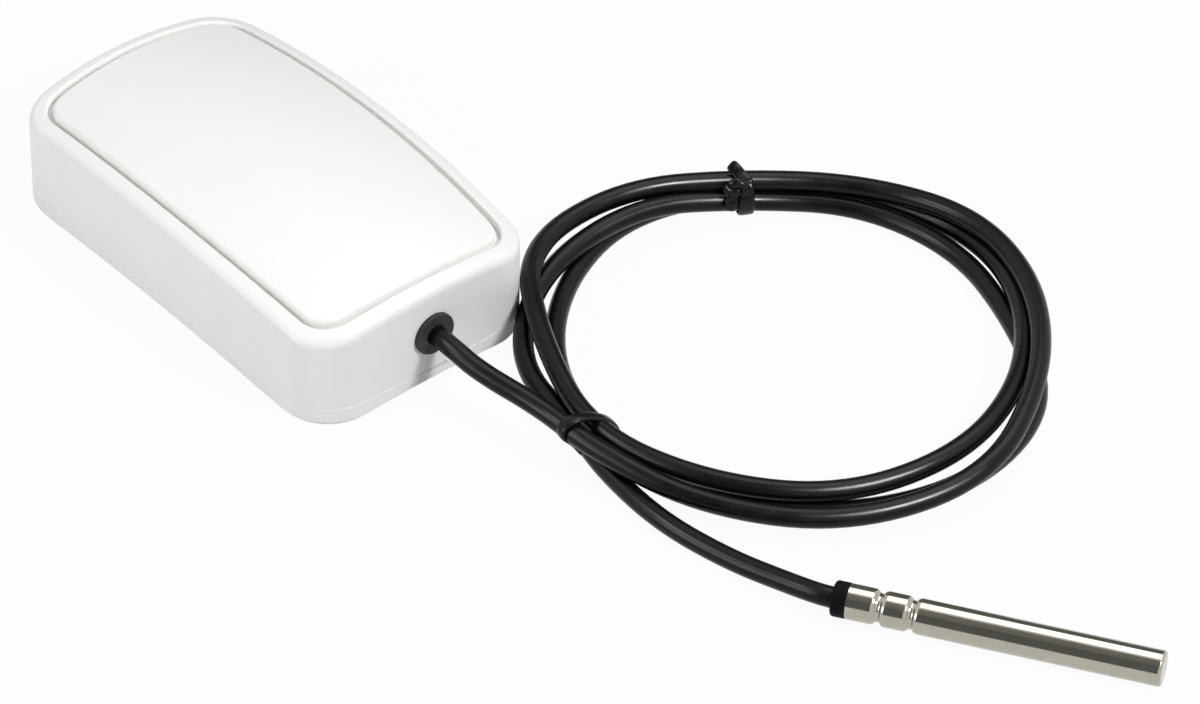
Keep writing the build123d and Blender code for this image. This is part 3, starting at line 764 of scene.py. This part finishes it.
@dataclass(frozen=True)
class Lamp:
    """A rectangular lamp: its place, the point that it faces and its size, in metres."""

    name: str
    place_m: Triple
    aim_m: Triple
    size_m: tuple[float, float]
    watts: float

    def hang(self) -> bpy.types.Object:
        """Put the lamp into the scene.

        Returns:
            The lamp's object.
        """
        data = bpy.data.lights.new(self.name, "AREA")
        data.shape = "RECTANGLE"
        data.size, data.size_y = self.size_m
        data.energy = self.watts
        lamp = bpy.data.objects.new(self.name, data)
        facing = (Vector(self.aim_m) - Vector(self.place_m)).to_track_quat("-Z", "Y")
        lamp.matrix_world = Matrix.Translation(self.place_m) @ facing.to_matrix().to_4x4()
        bpy.context.scene.collection.objects.link(lamp)
        return lamp


@dataclass(frozen=True)
class Card:
    """A dull card beside the set, which gives the metal its dark bands.

    Its corners are in metres, in order. The camera doesn't see it.
    """

    name: str
    corners_m: tuple[Triple, Triple, Triple, Triple]
    colour: str

    def stand(self) -> None:
        """Put the card into the scene."""
        deselect_all()
        bpy.ops.mesh.primitive_plane_add(size=2)
        card = bpy.context.active_object
        card.name = self.name
        order = {(-1, -1): 0, (1, -1): 1, (1, 1): 2, (-1, 1): 3}
        for vertex in card.data.vertices:
            vertex.co = self.corners_m[order[round(vertex.co.x), round(vertex.co.y)]]
        card.visible_camera = False
        material = blank_material(self.name)
        tree = material.node_tree
        felt = add_node(tree, "ShaderNodeBsdfDiffuse", inputs={"Color": hex_linear(self.colour)})
        add_node(tree, "ShaderNodeOutputMaterial", inputs={"Surface": felt.outputs[0]})
        card.data.materials.append(material)


SET_LAMPS = (
    Lamp("top_box", (0.38, 0.02, 0.83), (0.04, -0.08, 0.0), (0.6, 0.6), 2.8),
    Lamp("front_key", (0.18, -0.57, 0.55), (0.0, -0.04, 0.01), (0.16, 0.16), 3.5),
    Lamp("left_fill", (-0.72, 0.14, 0.32), (0.0, 0.0, 0.01), (0.4, 0.4), 3.0),
)
# The key puts the highlights on the coil, and the rim lamp those on the lead to the probe.
CABLE_LAMPS = (
    Lamp("cable_key", (0.045, -0.54, 0.60), (0.052, -0.075, 0.005), (0.26, 0.18), 13.0),
    Lamp("cable_rim", (-0.433, 0.249, 0.568), (0.01, -0.105, 0.002), (0.2, 0.14), 1.6),
)
CARDS = (
    Card(
        "left_flag",
        (
            (-0.46, -0.58, 0.03),
            (-0.62, -0.08, 0.03),
            (-0.62, -0.08, 0.66),
            (-0.46, -0.58, 0.66),
        ),
        "#808080",
    ),
    Card(
        "upper_flag",
        (
            (-0.46, -0.58, 0.66),
            (-0.62, -0.08, 0.66),
            (-0.10, 0.07, 0.88),
            (0.06, -0.43, 0.88),
        ),
        "#a8a8a4",
    ),
    Card(
        "back_flag",
        (
            (0.73, 0.14, 0.0),
            (0.30, 0.57, 0.0),
            (0.30, 0.57, 0.58),
            (0.73, 0.14, 0.58),
        ),
        "#80807a",
    ),
)


@dataclass
class Studio:
    """Floor, light and camera.

    The floor and the world look white to the camera and in reflections. To other rays
    the floor is paper, and the world gives only the ambient share of its light.
    """

    azimuth_deg: float = -40.655
    elevation_deg: float = 40.104
    roll_deg: float = 0.85
    distance_m: float = 1.1111
    target_m: Triple = (0.027307, -0.054802, -0.0004)
    focal_px: float = 6555.5
    sensor_mm: float = 36.0
    near_clip_m: float = 0.01
    floor_m: float = 6.0
    floor_drop_m: float = 0.00002
    floor_paper: str = "#cfcfcf"
    floor_own_light: float = 0.95
    ambient: float = 0.24

    def make_camera(self) -> None:
        """Set the camera at the photograph's place, with its focal length and roll."""
        azimuth = math.radians(self.azimuth_deg)
        elevation = math.radians(self.elevation_deg)
        back = Vector(
            (
                math.sin(azimuth) * math.cos(elevation),
                -math.cos(azimuth) * math.cos(elevation),
                math.sin(elevation),
            )
        )
        right = (-back).cross(Vector((0, 0, 1))).normalized()
        up = right.cross(-back)
        roll = math.radians(self.roll_deg)
        right, up = (
            math.cos(roll) * right + math.sin(roll) * up,
            math.cos(roll) * up - math.sin(roll) * right,
        )
        turn = Matrix((right, up, back)).transposed().to_4x4()
        data = bpy.data.cameras.new("photo_camera")
        data.sensor_fit = "HORIZONTAL"
        data.sensor_width = self.sensor_mm
        data.lens = self.sensor_mm * self.focal_px / PHOTO_WIDTH_PX
        data.clip_start = self.near_clip_m
        camera = bpy.data.objects.new("photo_camera", data)
        place = Vector(self.target_m) + back * self.distance_m
        camera.matrix_world = Matrix.Translation(place) @ turn
        bpy.context.scene.collection.objects.link(camera)
        bpy.context.scene.camera = camera

    def seen_rays(self, tree: bpy.types.NodeTree) -> bpy.types.NodeSocket:
        """Pick out the rays that see the background: camera, glossy and transmission.

        Args:
            tree: the material's or the world's nodes.

        Returns:
            A socket that is 1 for such a ray and 0 for the others.
        """
        path = add_node(tree, "ShaderNodeLightPath")
        seen = path.outputs["Is Camera Ray"]
        for kind in ("Is Glossy Ray", "Is Transmission Ray"):
            seen = add_node(
                tree,
                "ShaderNodeMath",
                {"operation": "MAXIMUM"},
                {0: seen, 1: path.outputs[kind]},
            ).outputs[0]
        return seen

    def make_world(self) -> None:
        """Light the scene from all round, and show white behind it."""
        world = bpy.data.worlds.new("studio_world")
        bpy.context.scene.world = world
        world.use_nodes = True
        tree = world.node_tree
        tree.nodes.clear()
        strength = add_node(
            tree,
            "ShaderNodeMapRange",
            inputs={"Value": self.seen_rays(tree), "To Min": self.ambient, "To Max": 1.0},
        ).outputs["Result"]
        light = add_node(
            tree,
            "ShaderNodeBackground",
            inputs={"Color": hex_linear(WHITE), "Strength": strength},
        )
        add_node(tree, "ShaderNodeOutputWorld", inputs={"Surface": light.outputs[0]})

    def make_floor(self) -> None:
        """Lay a pale floor that looks white and keeps a faint shadow."""
        deselect_all()
        bpy.ops.mesh.primitive_plane_add(size=self.floor_m, location=(0, 0, -self.floor_drop_m))
        floor = bpy.context.active_object
        floor.name = "floor"
        material = blank_material("floor_paper")
        tree = material.node_tree
        paper = add_node(
            tree, "ShaderNodeBsdfDiffuse", inputs={"Color": hex_linear(self.floor_paper)}
        )
        white = add_node(
            tree, "ShaderNodeEmission", inputs={"Color": hex_linear(WHITE), "Strength": 1.0}
        )
        share = add_node(
            tree,
            "ShaderNodeMath",
            {"operation": "MULTIPLY"},
            {0: self.seen_rays(tree), 1: self.floor_own_light},
        ).outputs[0]
        mixed = add_node(
            tree,
            "ShaderNodeMixShader",
            inputs={0: share, 1: paper.outputs[0], 2: white.outputs[0]},
        )
        add_node(tree, "ShaderNodeOutputMaterial", inputs={"Surface": mixed.outputs[0]})
        floor.data.materials.append(material)

    def build(self) -> None:
        """Make the camera, the floor, the lamps and the cards."""
        self.make_camera()
        self.make_world()
        self.make_floor()
        for lamp in SET_LAMPS:
            lamp.hang()
        for card in CARDS:
            card.stand()
        bpy.context.scene.view_settings.view_transform = "Standard"
        LOG.info("studio ready")

    def light_cable(self, cable: bpy.types.Object) -> None:
        """Hang the lamps that light only the cable, for its soft highlights.

        Args:
            cable: what the lamps light.
        """
        lit = bpy.data.collections.new("cable_lit")
        lit.objects.link(cable)
        for lamp in CABLE_LAMPS:
            lamp.hang().light_linking.receiver_collection = lit
        LOG.info("cable lit")


def main() -> None:
    """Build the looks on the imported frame."""
    logging.basicConfig(level=logging.INFO)
    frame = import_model()
    nodes = frame["nodes"]
    studio = Studio()
    studio.build()
    Housing(nodes).dress()
    Inside(nodes).dress()
    probe = Probe(nodes)
    probe.dress()
    ties = [RingTie().build(), KnotTie().build()]
    cable = Cable()
    cord = cable.build()
    cable.declare(cord)
    studio.light_cable(cord)


if __name__ == "__main__":
    main()
